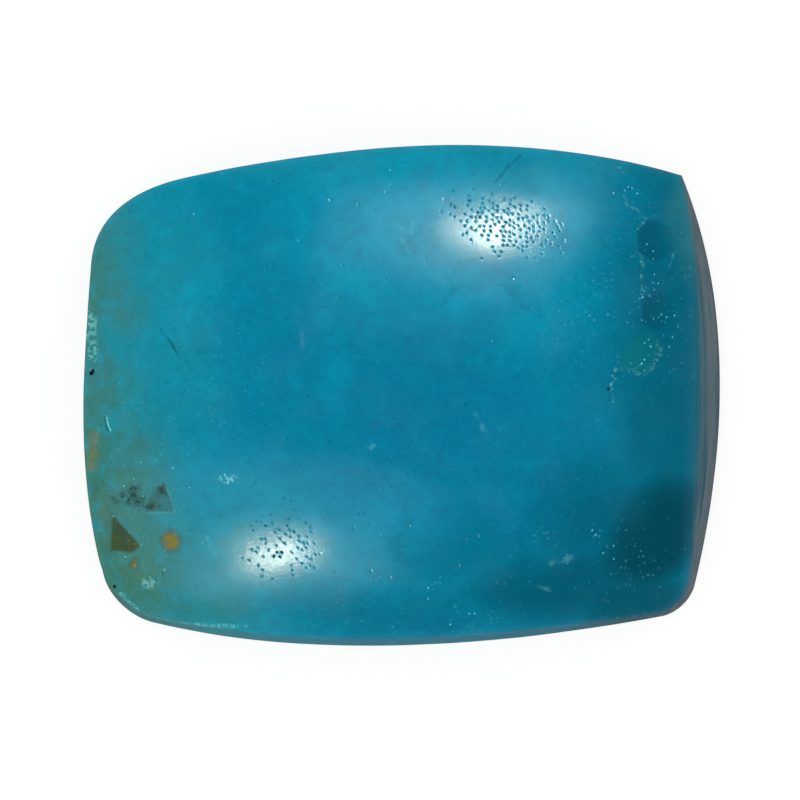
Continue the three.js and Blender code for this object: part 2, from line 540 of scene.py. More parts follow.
# Soft patches: middle, half size, turn in degrees and strength
ZONES = {
    "deep": (
        ((1.0, -0.3), (3.2, 2.6), -10, 1.0),
        ((-3.6, 2.2), (1.1, 2.8), 10, 0.6),
        ((-3.2, -0.2), (2.2, 1.4), 0, 0.5),
        ((2.2, -2.6), (3.2, 1.2), 0, 0.8),
    ),
    "shallow": (
        ((-8.8, 0.6), (2.2, 5.0), 0, 1.0),
        ((-6.6, 2.6), (1.2, 3.4), 8, 0.8),
        ((-6.6, -1.2), (1.0, 1.6), 0, 0.6),
        ((-5.0, -4.6), (2.6, 1.8), 5, 0.7),
        ((-5.6, -6.2), (2.6, 0.8), -5, 0.8),
        ((0.0, 6.6), (6.0, 0.6), 0, 0.5),
    ),
    # Milky clouds, and painted light: the patches round the far highlight paint its glow
    "milky_and_glow": (
        ((0.2, 4.9), (2.6, 1.4), 4, 0.75),
        ((-1.3, 3.7), (0.9, 1.6), 15, 0.6),
        ((1.4, 3.0), (1.8, 0.8), 0, 0.6),
        ((3.6, 2.8), (1.6, 1.2), -35, 0.5),
        ((3.7, 4.7), (1.5, 1.1), -10, 0.7),
        ((-4.2, -2.7), (1.9, 0.8), -15, 0.2),
        ((-0.9, -3.9), (1.7, 0.9), 0, 0.4),
        ((-5.8, 2.6), (0.4, 1.0), -28, 0.4),
        ((-1.8, 0.8), (0.35, 1.4), 8, 0.35),
        ((7.2, -1.1), (0.5, 0.7), -30, 0.12),
    ),
    "dark": (
        ((7.2, -4.0), (2.3, 1.4), 50, 0.9),
        ((5.8, -3.8), (1.9, 1.9), 15, 0.55),
        ((4.6, -5.4), (2.6, 1.0), 5, 0.68),
        ((6.8, -5.9), (2.0, 0.9), 0, 0.74),
        ((7.9, 1.2), (1.8, 6.0), 0, 0.6),
        ((6.0, 0.8), (1.2, 2.8), 0, 0.2),
        ((2.6, -4.6), (2.6, 0.9), 0, 0.3),
        ((1.0, -6.2), (4.0, 0.7), 0, 0.35),
    ),
    "mossy": (
        ((-8.7, -1.6), (0.6, 2.2), 0, 0.85),
        ((-7.7, -5.1), (1.4, 1.3), 35, 0.85),
        ((-6.8, -5.8), (1.8, 0.8), -10, 0.45),
        ((-8.55, -3.4), (0.45, 2.4), 6, 0.9),
        ((-9.0, 2.2), (0.5, 2.4), 0, 0.9),
        ((-7.9, -3.0), (1.2, 1.8), 0, 0.7),
    ),
    "hazy": (
        ((-7.3, -2.0), (0.7, 1.2), 20, 0.2),
        ((-7.9, -2.4), (0.7, 1.3), 0, 0.45),
        ((-6.9, -3.7), (0.7, 0.7), 0, 0.4),
        ((-8.4, 1.8), (0.9, 4.2), 0, 0.8),
        ((8.1, 5.2), (0.4, 1.4), 0, 0.4),
    ),
    "dusty": (
        ((7.0, 2.6), (1.1, 1.9), 0, 1.0),
        ((5.4, 2.2), (1.2, 1.4), 0, 0.8),
        ((5.8, -4.6), (1.9, 1.2), 0, 0.8),
        ((-7.6, -2.8), (1.3, 3.2), 0, 0.7),
        ((0.5, -6.0), (4.5, 0.8), 0, 0.6),
        ((-5.0, 0.2), (2.0, 1.8), 0, 0.4),
    ),
    "peeled": (
        ((3.1, 4.85), (1.3, 0.6), -14, 1.0),
        ((-3.6, -4.3), (1.3, 0.95), 0, 0.7),
    ),
}


# Where a soft patch ends, and how wide its soft edge is, in half sizes from its middle
ZONE_REACH = 2.0
ZONE_SOFTNESS = 1.7
ZONE_SWAY = 0.45  # how far its edge wanders
SWAY_SIZE = 1.3  # how long the bends of its edge are


def zone_share(points, patches, seed):
    """How far each point lies within any of the soft patches, with wandering edges."""
    sway = [[coherent(point, SWAY_SIZE, way) for way in (seed, seed + 3)] for point in points]
    plan = points[:, :2] + ZONE_SWAY * np.array(sway)
    share = np.zeros(len(points))
    for middle, half_size, turn, strength in patches:
        angle = np.radians(turn)
        x, y = (plan - np.array(middle)).T
        along = x * np.cos(angle) + y * np.sin(angle)
        across = y * np.cos(angle) - x * np.sin(angle)
        distance = np.hypot(along / half_size[0], across / half_size[1])
        share = np.maximum(share, strength * smooth((ZONE_REACH - distance) / ZONE_SOFTNESS))
    return share


def store(mesh, name, values):
    """Keeps one number for each vertex of the mesh."""
    layer = mesh.attributes.new(name, "FLOAT", "POINT")
    layer.data.foreach_set("value", np.asarray(values, np.float32))


def paint_zones(mesh):
    """Stores how strongly each zone of colour and wear shows at each vertex."""
    points = np.empty(len(mesh.vertices) * 3)
    mesh.vertices.foreach_get("co", points)
    points = points.reshape(-1, 3) / MM
    for seed, (name, patches) in enumerate(ZONES.items()):
        store(mesh, name, zone_share(points, patches, 11 + 7 * seed))
    crust = np.zeros(len(points))
    for (x, y), half_size, _ in CRUSTS:
        crust = np.maximum(crust, smooth(1.5 - np.hypot(*((points[:, :2] - (x, y)) / half_size).T)))
    on_dome = points[:, 2] > DOME_FOOT
    store(mesh, "crust", crust * on_dome)
    store(mesh, "wall", wall_share(points))


def wall_share(points):
    """How far each point lies down the side wall: 0 on the dome and 1 from the shoulder down."""
    drop = dome_height(points) - points[:, 2]
    return between(drop, 0.0, 0.4)


# The material

# Straight-sided marks, anticlockwise
OLIVE_WEDGE = ((-8.12, -3.28), (-8.17, -4.36), (-7.56, -4.41), (-7.32, -4.22))
ASH_PATCH = ((-6.59, -2.46), (-6.81, -2.49), (-7.18, -3.06), (-7.06, -3.28), (-6.36, -3.25))
FAR_POOL = (
    (6.58, 4.63), (6.64, 4.01), (7.03, 3.75), (7.65, 3.95), (7.59, 4.71), (7.14, 4.94), (6.86, 4.88),
)
NEAR_POOL = ((6.71, 2.74), (6.71, 2.01), (7.14, 1.84), (7.59, 2.07), (7.71, 2.55), (7.17, 2.94))
GREEN_CELL = (
    (6.98, 1.84), (6.37, 1.65), (6.16, 1.28), (5.96, 0.79), (6.69, 0.55), (7.02, 0.79), (7.24, 1.24),
    (7.18, 1.56),
)
# Round marks: middle and radius
AMBER_SPOTS = (((-6.46, -4.06), 0.22), ((-7.49, -4.72), 0.07))
STAIN = (((-8.62, -1.12), (-8.66, -1.55), (-8.70, -2.0)), 0.03)  # a line and its half width
SMUDGES = (
    ((-7.78, -2.82), 0.12), ((-7.50, -2.72), 0.20), ((-7.34, -3.02), 0.16), ((-8.02, -2.91), 0.09),
    ((-7.62, -2.95), 0.12), ((-7.05, -3.10), 0.12), ((-6.72, -2.66), 0.12),
)
BLOTCHES = (((-7.30, -1.36), 0.22), ((-7.70, -2.04), 0.22), ((-8.0, -2.91), 0.26), ((-8.55, -2.6), 0.2))
# Lines: the points along each, and its half width
CRACKS = (
    (((-6.72, 1.84), (-6.45, 1.50), (-6.20, 1.06)), 0.012),
    (((3.29, 6.71), (2.98, 6.42), (2.62, 5.96)), 0.015),
    (((-8.31, -0.62), (-8.27, -0.86), (-8.21, -1.0)), 0.012),
)
VEINS = (
    (((5.96, 6.45), (6.24, 6.26)), 0.02),
    (((6.26, 5.60), (6.28, 5.38), (6.49, 5.27), (6.73, 5.03), (6.85, 4.91)), 0.015),
    (((6.85, 4.91), (6.98, 5.01), (7.22, 5.07)), 0.012),
    (((6.85, 4.91), (6.57, 4.63), (6.43, 4.50)), 0.012),
    (((6.41, 3.90), (6.65, 3.98), (6.77, 3.64), (6.69, 3.25), (6.72, 2.74)), 0.03),
    (((7.65, 3.99), (7.51, 3.64)), 0.01),
    (((5.96, 0.79), (5.82, 0.30), (5.88, -0.18)), 0.03),
)
STREAKS = (
    (((2.05, -0.52), (2.18, -0.75), (2.31, -1.03)), 0.04),
    (((-5.42, -3.96), (-5.34, -4.20), (-5.20, -4.40)), 0.02),
    (((3.83, -5.36), (4.13, -5.44)), 0.02),
    (((4.16, -4.68), (4.78, -4.51)), 0.05),
    (((0.0, 4.70), (-0.02, 4.35), (0.20, 4.0)), 0.02),
    (((0.32, 4.85), (0.26, 4.5)), 0.02),
    (((-1.05, -1.40), (-0.90, -1.48), (-0.78, -1.38)), 0.015),
    (((-2.78, 1.75), (-2.75, 1.38)), 0.03),
)
WHITE_SLASH = ((-8.27, -0.58), (-8.22, -0.80), (-8.15, -0.98))
# A painted highlight: the broken pale line along the shoulder
SHOULDER_HIGHLIGHT = (
    (-7.91, -5.57), (-7.69, -5.78), (-7.38, -6.11), (-7.17, -6.25), (-6.33, -6.42), (-4.39, -6.47),
)
# The finish of the stone
POLISH = 0.13  # roughness of the polished dome
WALL_DULLNESS = 0.15  # how much rougher the walls are
OPAL_IOR = 1.43
SCATTER_REACH = 0.6  # how far blue light spreads in the stone
PEEL_HEIGHT = 0.004  # of the fine bumps that polishing leaves
PEEL_SIZE = 0.06
FLAT = (1, 1, 0)  # takes a place's height away


class Shade:
    """Short ways to add and join the nodes of a material, a lamp or the world."""

    def __init__(self, owner, shader):
        owner.use_nodes = True
        self.tree = owner.node_tree
        self.shader = self.tree.nodes[shader]
        self.colour = None  # what the coats laid so far give

    def put(self, value, socket):
        """Joins a node's output to a socket, or sets a plain value on it."""
        if isinstance(value, bpy.types.NodeSocket):
            self.tree.links.new(value, socket)
        elif socket.type == "RGBA":
            socket.default_value = (*tuple(value)[:3], 1)
        else:
            socket.default_value = value

    def set(self, name, value):
        """Joins or sets an input of the shader."""
        self.put(value, self.shader.inputs[name])

    def add(self, kind, values=None, **settings):
        """A new node, with its settings, and with values joined to its inputs or set on them."""
        node = self.tree.nodes.new(kind)
        for name, setting in settings.items():
            setattr(node, name, setting)
        for name, value in (values or {}).items():
            self.put(value, node.inputs[name])
        return node

    def math(self, operation, first, second=0.0):
        """One sum of two numbers."""
        return self.add("ShaderNodeMath", {0: first, 1: second}, operation=operation).outputs[0]

    def times(self, *values):
        """All the numbers multiplied."""
        return reduce(lambda first, second: self.math("MULTIPLY", first, second), values)

    def largest(self, values):
        """The largest of some numbers."""
        return reduce(lambda first, second: self.math("MAXIMUM", first, second), values)

    def vector(self, operation, first, second=None, scale=None):
        """One sum of two vectors, as a vector or, for a distance or a dot product, a number."""
        node = self.add("ShaderNodeVectorMath", {0: first}, operation=operation)
        if second is not None:
            self.put(second, node.inputs[1])
        if scale is not None:
            self.put(scale, node.inputs["Scale"])
        number = operation in ("DISTANCE", "DOT_PRODUCT", "LENGTH")
        return node.outputs["Value" if number else "Vector"]

    def split(self, vector):
        """The three numbers of a vector."""
        return self.add("ShaderNodeSeparateXYZ", {0: vector}).outputs

    def rise(self, value, low, high, top=1.0):
        """0 up to low, top from high on, and smooth between them. High may be the lower one."""
        values = {"Value": value, "From Min": low, "From Max": high, "To Max": top}
        return self.add("ShaderNodeMapRange", values, interpolation_type="SMOOTHSTEP").outputs["Result"]

    def mix(self, share, first, second):
        """A colour the given share of the way from the first to the second."""
        return self.add("ShaderNodeMix", {0: share, 6: first, 7: second}, data_type="RGBA").outputs[2]

    def coat(self, colour, *shares):
        """Lays a colour over the coats so far, as strongly as all the shares multiplied."""
        self.colour = self.mix(self.times(*shares), self.colour, colour)

    def attribute(self, name):
        """A number stored in the mesh."""
        return self.add("ShaderNodeAttribute", attribute_name=name).outputs["Fac"]

    def noise(self, place, size, detail=3.0, roughness=0.6, warp=0.0, output="Fac"):
        """Soft noise from 0 to 1 in lumps of about the given size."""
        values = {"Vector": place, "Scale": 1 / size, "Detail": detail, "Roughness": roughness}
        return self.add("ShaderNodeTexNoise", {**values, "Distortion": warp}).outputs[output]

    def dots(self, place, spacing, radius, share):
        """1 in small scattered dots, one in the given share of the cells of an uneven net."""
        net = self.add("ShaderNodeTexVoronoi", {"Vector": place, "Scale": 1 / spacing}).outputs
        dot = self.rise(net["Distance"], radius / spacing, 0.3 * radius / spacing)
        draw = self.add("ShaderNodeSeparateColor", {0: net["Color"]}).outputs[0]
        return self.times(dot, self.math("LESS_THAN", draw, share))

    def places(self):
        """Millimetres on the stone: in space, and flat as seen from above."""
        coordinates = self.add("ShaderNodeTexCoord").outputs["Object"]
        space = self.vector("SCALE", coordinates, scale=1 / MM)
        return space, self.vector("MULTIPLY", space, FLAT)

    def wandering(self, place, size, amount):
        """The place, moved a little to and fro, so that a mark's edge isn't drawn with a ruler."""
        centred = self.vector("SUBTRACT", self.noise(place, size, 2.0, 0.5, output="Color"), (0.5, 0.5, 0.5))
        moved = self.vector("ADD", place, self.vector("SCALE", centred, scale=amount))
        return self.vector("MULTIPLY", moved, FLAT)

    def depth_inside(self, place, corners):
        """How far a place lies inside a straight-sided mark, in millimetres. Outside is negative."""
        outside = []
        for (x0, y0), (x1, y1) in zip(corners, corners[1:] + corners[:1]):
            outward = Vector((y1 - y0, x0 - x1, 0)).normalized()
            reach = self.vector("DOT_PRODUCT", place, outward)
            outside.append(self.math("SUBTRACT", reach, outward.dot(Vector((x0, y0, 0)))))
        return self.times(self.largest(outside), -1.0)

    def spots(self, place, spots, softness):
        """1 inside round marks and 0 outside, with a soft edge."""
        shares = []
        for (x, y), radius in spots:
            distance = self.vector("DISTANCE", place, (x, y, 0))
            shares.append(self.rise(distance, radius + softness, radius - softness))
        return self.largest(shares)

    def lines(self, place, lines, softness):
        """1 on lines and 0 beside them, with a soft edge."""
        shares = []
        for points, half_width in lines:
            for start, end in zip(points, points[1:]):
                start, end = Vector((*start, 0)), Vector((*end, 0))
                run = end - start
                arm = self.vector("SUBTRACT", place, start)
                along = self.vector("DOT_PRODUCT", arm, run / run.length_squared)
                held = self.math("MAXIMUM", self.math("MINIMUM", along, 1.0), 0.0)
                foot = self.vector("SCALE", run, scale=held)
                distance = self.vector("DISTANCE", arm, foot)
                shares.append(self.rise(distance, half_width + softness, 0.5 * half_width))
        return self.largest(shares)


def paint_body(shade, colours, space):
    """The soft zones of the stone, with clouds and wisps in them. Dark stone has the fewest."""
    broad = shade.noise(space, 2.4, roughness=0.55, warp=0.6)
    cloud = shade.noise(space, 0.8, detail=4.0, warp=0.8)
    curd = shade.noise(space, 0.5)
    fine = shade.noise(space, 0.16)
    dark, shallow = shade.attribute("dark"), shade.attribute("shallow")
    calm = shade.rise(dark, 0.9, 0.0)
    curdled = shade.math("ADD", shade.times(shallow, 0.28), shade.times(calm, 0.12))

    shade.colour = colours.teal
    shade.coat(colours.blue, shade.attribute("deep"), shade.rise(broad, 0.25, 0.55))
    shade.coat(colours.shallow, shallow)
    # Milky clouds, partly a painted glow round the far highlight
    shade.coat(colours.milk_and_glow, shade.attribute("milky_and_glow"), shade.rise(cloud, 0.1, 0.65))
    shade.coat(colours.milk_and_glow, shade.rise(cloud, 0.5, 0.85, 0.35))
    shade.coat(colours.blue, shade.rise(cloud, 0.5, 0.2, 0.35))
    shade.coat(colours.dark, dark)
    shade.coat(colours.moss, shade.attribute("mossy"), shade.rise(cloud, 0.05, 0.5))
    shade.coat(colours.haze, shade.attribute("hazy"), shade.rise(broad, 0.2, 0.6))
    shade.coat(colours.milk_and_glow, curdled, shade.rise(curd, 0.45, 0.75))
    shade.coat(colours.dark, curdled, shade.rise(curd, 0.5, 0.2, 0.35))
    shade.coat(colours.milk_and_glow, calm, shade.rise(fine, 0.45, 0.85, 0.22))
    shade.coat(colours.dark, calm, shade.rise(fine, 0.5, 0.2, 0.2))


def paint_ash_patch(shade, colours, near, crisp, mottle, lumps):
    """The grey patch with a broken pale edge, and the smudges and blotches round it."""
    shade.coat(colours.ash, shade.spots(near, BLOTCHES, 0.16), 0.3)
    patch = shade.rise(shade.depth_inside(near, ASH_PATCH), -0.05, 0.05)
    shade.coat(colours.ash, patch, shade.rise(mottle, 0.1, 0.5), 0.55)
    shade.coat(colours.smudge_and_rim_shade, patch, shade.rise(mottle, 0.5, 0.62), 0.35)
    edge = shade.lines(crisp, ((ASH_PATCH[2:] + ASH_PATCH[:1], 0.01),), 0.04)
    shade.coat(colours.chalk_and_highlight, edge, shade.rise(lumps, 0.35, 0.6), 0.16)
    smudged = shade.rise(mottle, 0.34, 0.56, 0.95)
    shade.coat(colours.smudge_and_rim_shade, shade.spots(near, SMUDGES, 0.12), smudged)


def paint_olive_wedge(shade, colours, flat, crisp, lumps, grain):
    """The olive wedge, with a grey halo on its outer side and a glinting slope."""
    depth = shade.depth_inside(crisp, OLIVE_WEDGE)
    outer_side = shade.rise(shade.split(flat)[0], -7.9, -8.2)
    shade.coat(colours.ash, shade.rise(depth, -0.35, -0.05), outer_side, 0.35)
    olive = shade.mix(shade.rise(lumps, 0.35, 0.65), colours.olive, colours.bottle)
    shade.coat(olive, shade.rise(depth, -0.06, 0.07, 0.95))
    slope = shade.lines(crisp, (((OLIVE_WEDGE[3], OLIVE_WEDGE[0]), 0.008),), 0.02)
    shade.coat(colours.glint, slope, shade.rise(grain, 0.5, 0.7), 0.45)


def paint_amber_and_lines(shade, colours, near, crisp, mottle, grain):
    """The amber spots and stain, the painted highlight along the shoulder and the white slash."""
    rings = [(place, radius + 0.10) for place, radius in AMBER_SPOTS]
    shade.coat(colours.olive, shade.spots(near, rings, 0.10), 0.45)
    spots = shade.spots(near, AMBER_SPOTS, 0.10)
    shade.coat(colours.amber, spots, shade.rise(mottle, 0.8, 0.4))
    shade.coat(colours.amber, shade.lines(near, (STAIN,), 0.22), 0.36)
    # Painted highlight along the shoulder, broken into dashes
    line = shade.lines(crisp, ((SHOULDER_HIGHLIGHT, 0.03),), 0.06)
    broken = shade.times(shade.rise(mottle, 0.3, 0.6), shade.rise(grain, 0.35, 0.65))
    shade.coat(colours.chalk_and_highlight, line, broken, 0.6)
    slash = shade.lines(crisp, ((WHITE_SLASH, 0.015),), 0.02)
    shade.coat(colours.chalk_and_highlight, slash, shade.rise(grain, 0.35, 0.55))


def paint_blunt_end(shade, colours, flat):
    """The marks of the blunt end. They share two wandering places and three kinds of noise."""
    near = shade.wandering(flat, 0.22, 0.20)
    crisp = shade.wandering(flat, 0.5, 0.05)
    mottle = shade.noise(flat, 0.20, roughness=0.7)
    lumps = shade.noise(flat, 0.35)
    grain = shade.noise(flat, 0.07, detail=2.0)
    paint_ash_patch(shade, colours, near, crisp, mottle, lumps)
    paint_olive_wedge(shade, colours, flat, crisp, lumps, grain)
    paint_amber_and_lines(shade, colours, near, crisp, mottle, grain)


def paint_leaning_end(shade, colours, flat):
    """The dark pools, the green cell and the veins between them."""
    near = shade.wandering(flat, 0.30, 0.16)
    crisp = shade.wandering(flat, 0.45, 0.08)
    mottle = shade.noise(flat, 0.14, roughness=0.7)
    lumps = shade.noise(flat, 0.5)

    fade = shade.rise(shade.split(flat)[0], 7.9, 6.8)
    for pool in (FAR_POOL, NEAR_POOL):
        shade.coat(colours.pool, shade.rise(shade.depth_inside(crisp, pool), -0.04, 0.05), fade, 0.7)

    cell = shade.depth_inside(near, GREEN_CELL)
    shade.coat(colours.cell, shade.rise(cell, -0.06, 0.14), 0.42)
    near_side = shade.rise(shade.vector("DOT_PRODUCT", flat, (0.6, -0.8, 0)), 2.85, 3.3)
    rim = shade.times(shade.rise(cell, -0.10, 0.0), shade.rise(cell, 0.14, 0.02), near_side)
    veins = shade.lines(near, VEINS, 0.05)
    seam = shade.math("MAXIMUM", shade.times(rim, 0.8), shade.times(veins, veins))
    broken = shade.times(shade.rise(mottle, 0.42, 0.66), shade.rise(lumps, 0.2, 0.6))
    shade.coat(colours.vein, seam, broken, 0.45)
    sparks = shade.dots(flat, 0.09, 0.035, 0.35)
    shade.coat(colours.chalk_and_highlight, shade.math("MAXIMUM", rim, veins), sparks, 0.5)


def paint_scattered_marks(shade, colours, flat):
    """Pale streaks, fine cracks and fine dust all over the dome."""
    crisp = shade.wandering(flat, 0.4, 0.10)
    lumps = shade.noise(flat, 0.25)
    shade.coat(colours.chalk_and_highlight, shade.lines(crisp, STREAKS, 0.08), shade.rise(lumps, 0.35, 0.75), 0.24)
    shade.coat(colours.crevice, shade.lines(crisp, CRACKS, 0.05), shade.rise(lumps, 0.2, 0.6), 0.5)
    drift = shade.rise(shade.noise(flat, 0.6, 2.0, 0.5), 0.4, 0.65, 0.45)
    near_dust = shade.times(shade.dots(crisp, 0.13, 0.045, 0.5), shade.attribute("dusty"), drift)
    loose_dust = shade.times(shade.dots(flat, 0.30, 0.035, 0.25), 0.25)
    shade.coat(colours.glint, shade.math("MAXIMUM", near_dust, loose_dust))


def paint_walls(shade, colours, space, height):
    """The side walls: darker than the dome, streaked along, grey at the leaning end's foot.

    The darkening and the darker girdle are painted shade; the grey foot is a painted reflection of the
    table.
    """
    streak = shade.noise(shade.vector("MULTIPLY", space, (1, 0.06, 1)), 0.22)
    wall = shade.attribute("wall")
    leaning = shade.rise(shade.split(space)[0], 6.5, 8.0)
    # Painted shade: the leaning end's wall is darkened
    shade.coat(colours.shade, wall, leaning, 0.85)
    shade.coat(colours.haze, wall, shade.rise(streak, 0.42, 0.62, 0.4))
    shade.coat(colours.shade, wall, shade.rise(streak, 0.5, 0.3, 0.35))
    # Painted reflection: the foot of the leaning end's wall turns grey, as if it mirrored the table
    foot = shade.rise(height, 3.0, 1.0, 0.8)
    shade.coat(colours.table_reflection_grey, wall, leaning, foot, shade.rise(streak, 0.25, 0.6))
    # Painted shade: browner and darker low down near the girdle
    rim = shade.rise(height, 0.9, 0.5)
    shade.coat(colours.girdle_shade, wall, rim, shade.rise(streak, 0.1, 0.6), 0.7)
    # Painted shade: a dark line along the leaning end's foot
    shade.coat(colours.smudge_and_rim_shade, leaning, shade.rise(height, 0.9, 0.62, 0.7))


def paint_stone(shade, colours, space, flat, crust):
    """The body, its marks and the walls. The marks lie on the dome and end at its foot."""
    paint_body(shade, colours, space)
    unmarked = shade.colour
    paint_blunt_end(shade, colours, flat)
    paint_leaning_end(shade, colours, flat)
    paint_scattered_marks(shade, colours, flat)
    shade.coat(colours.chalk_and_highlight, crust, 0.5)
    on_dome = shade.rise(shade.attribute("wall"), 1.0, 0.6)
    shade.colour = shade.mix(on_dome, unmarked, shade.colour)
    paint_walls(shade, colours, space, shade.split(space)[2])


def paint_pits(shade, colours, what, hole):
    """The colours of the pits, the specks and the holes: painted shade in the pits and holes, painted glints
    on the specks.
    """
    for kind, share, fill in (
        (FAINT_PIT, 0.4, colours.pit_shade), (DARK_PIT, 0.9, colours.pit_shade),
        (FAINT_SPECK, 0.55, colours.glint), (BRIGHT_SPECK, 0.9, colours.chalk_and_highlight),
    ):
        shade.coat(fill, shade.math("COMPARE", what, float(kind)), share)
    shade.coat(colours.pit_shade, hole)


def set_finish(shade, space, rough, sunk, hole):
    """Polished stone that light enters, duller on the walls, rough in places and in holes, and unreflecting
    in pits and holes.
    """
    gloss = shade.math("ADD", POLISH, shade.rise(shade.noise(space, 1.2, roughness=0.5), 0.4, 0.8, 0.10))
    gloss = shade.math("ADD", gloss, shade.times(shade.attribute("wall"), WALL_DULLNESS))
    gloss = shade.math("ADD", gloss, shade.times(rough, 0.5))
    shade.set("Roughness", shade.math("MAXIMUM", gloss, hole))
    # Pits and holes reflect nothing, which stands in for the shade inside them
    shade.set("Specular IOR Level", shade.rise(sunk, 1.0, 0.0, 0.5))
    shade.set("IOR", OPAL_IOR)
    shade.set("Subsurface Weight", 0.4)
    shade.set("Subsurface Radius", (0.2, 0.7, 1.0))
    shade.set("Subsurface Scale", SCATTER_REACH * MM)
    peel = shade.math("ADD", 0.3, shade.attribute("peeled"))
    bumps = shade.times(peel, shade.noise(space, PEEL_SIZE, 2.0, 0.5))
    values = {"Distance": PEEL_HEIGHT * MM, "Height": bumps}
    shade.set("Normal", shade.add("ShaderNodeBump", values).outputs["Normal"])


def stone_material(colours):
    """Translucent blue opal with inclusions, polished on the dome and ground on the back."""
    material = bpy.data.materials.new("blue opal")
    shade = Shade(material, "Principled BSDF")
    space, flat = shade.places()
    height = shade.split(space)[2]
    crust = shade.times(shade.attribute("crust"), shade.rise(shade.noise(flat, 0.12, 2.0, 0.5), 0.42, 0.6))
    paint_stone(shade, colours, space, flat, crust)
    ground = shade.rise(height, 0.12, 0.02)
    powdered = shade.noise(space, 0.5, roughness=0.7)
    shade.coat(shade.mix(powdered, colours.shallow, colours.powder), ground)

    what = shade.attribute("what")
    # Painted shade: the holes are drawn as near-black spots
    holes = [(place, 0.8 * radius) for place, radius, _ in HOLLOWS]
    hole = shade.spots(shade.wandering(flat, 0.06, 0.05), holes, 0.012)
    hole = shade.times(hole, shade.rise(height, 0.8 * DOME_FOOT, DOME_FOOT))
    paint_pits(shade, colours, what, hole)
    shade.set("Base Color", shade.colour)

    pit = shade.math("LESS_THAN", shade.math("ABSOLUTE", shade.math("SUBTRACT", what, 1.5)), 0.6)
    set_finish(shade, space, shade.largest([crust, ground, pit]), shade.math("MAXIMUM", pit, hole), hole)
    return material


# The piece

def new_object(name, mesh):
    """A linked object for a mesh."""
    piece = bpy.data.objects.new(name, mesh)
    bpy.context.scene.collection.objects.link(piece)
    return piece


def stone_mesh(sizes):
    """The worn and pitted stone, in metres."""
    vertices, faces = stone_surface()
    mesh = bpy.data.meshes.new("opal_stone")
    mesh.from_pydata((vertices * MM).tolist(), [], faces)
    mesh.shade_smooth()
    normals = np.empty(len(vertices) * 3)
    mesh.vertices.foreach_get("normal", normals)
    worn = wear(vertices, normals.reshape(-1, 3), sizes)
    mesh.vertices.foreach_set("co", (worn * MM).ravel())

    bm = bmesh.new()
    bm.from_mesh(mesh)
    cut_pits_and_specks(bm, sizes)
    bm.to_mesh(mesh)
    bm.free()
    paint_zones(mesh)
    return mesh


class OPAL_OT_cut_stone(bpy.types.Operator):
    """Cut, wear and colour the opal"""

    bl_idname = "opal.cut_stone"
    bl_label = "Cut Stone"

    def execute(self, context):
        stone = new_object("opal_stone", stone_mesh(context.scene.opal_sizes))
        stone.data.materials.append(stone_material(context.scene.opal_colours))
        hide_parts("opal")
        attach(stone, "root")
        return {"FINISHED"}


# The stage

CAMERA_AIM = (-0.056, -0.127, 2.0)
SENSOR_WIDTH = 36
TABLE_GAP = 0.01  # keeps the table's face off the stone's back
LAMP_COLOUR = (1.0, 1.0, 0.82)

# Where each lamp and panel stands, as a direction from the stone, and its width and height
FAR_LAMP = ((0.29, 0.795, 0.533), (160, 160))
FAR_PANEL = ((0.19, 0.69, 0.72), (132, 156))
NEAR_LAMP = ((-0.308, -0.80, 0.515), (120, 120))
NEAR_PANEL = ((-0.43, -0.63, 0.65), (240, 160))
PANEL_DISTANCE = 1.01  # beside a lamp's, so that the panels stand just behind the lamps

# The light of each lamp. Half sizes and places are in millimetres from the lamp's middle.
FAR_SPOT = (36, 53)
FAR_OVAL = (24, 28)
DIMMING_WAY = (0.54, 0.84, 0)
DIMMING_LINES = ((14.5, 17.0, 0.66), (30.0, 34.0, 0.45))  # start, end and share of the light lost
NEAR_SPOT_PLACE = (1, 1, 0)
NEAR_SPOT = (28, 28)
NEAR_OVAL = (18, 26)


def build_camera(settings):
    """A camera straight above the stone, far enough off for almost no perspective."""
    camera = bpy.data.cameras.new("camera")
    camera.sensor_width = SENSOR_WIDTH
    camera.lens = SENSOR_WIDTH * settings.camera_distance / settings.picture_width
    camera.clip_start = 0.01
    holder = new_object("camera", camera)
    holder.location = Vector(CAMERA_AIM) * MM + Vector((0, 0, settings.camera_distance))
    bpy.context.scene.camera = holder


def oval_reach(shade, place, half_size):
    """How far out a place lies: 0 in the middle of an oval and 1 on its edge."""
    return shade.vector("LENGTH", shade.vector("DIVIDE", place, (*half_size, 1)))


def hot_spot(shade, place, half_size):
    """1 in the middle of the lamp, and falling off steeply all round."""
    return shade.math("POWER", shade.rise(oval_reach(shade, place, half_size), 1.0, 0.0), 4.0)


def pale_oval(shade, place, half_size, share):
    """An even oval, lit to the given share, with a soft edge."""
    return shade.rise(oval_reach(shade, place, half_size), 1.25, 0.8, share)


def far_lamp_light(shade, place):
    """A hot spot on a pale oval, dimmed past two parallel lines, and a faint glow round it."""
    light = shade.math("ADD", hot_spot(shade, place, FAR_SPOT), pale_oval(shade, place, FAR_OVAL, 0.09))
    down = shade.vector("DOT_PRODUCT", place, DIMMING_WAY)
    for start, end, loss in DIMMING_LINES:
        light = shade.times(light, shade.math("SUBTRACT", 1.0, shade.rise(down, start, end, loss)))
    return shade.math("ADD", light, shade.rise(shade.vector("LENGTH", place), 79.0, 10.0, 0.03))


def near_lamp_light(shade, place):
    """A small hot spot on a pale oval, and a faint glow round it."""
    core = shade.vector("SUBTRACT", place, NEAR_SPOT_PLACE)
    light = shade.math("ADD", hot_spot(shade, core, NEAR_SPOT), pale_oval(shade, core, NEAR_OVAL, 0.07))
    return shade.math("ADD", light, shade.rise(shade.vector("LENGTH", place), 58.0, 20.0, 0.02))


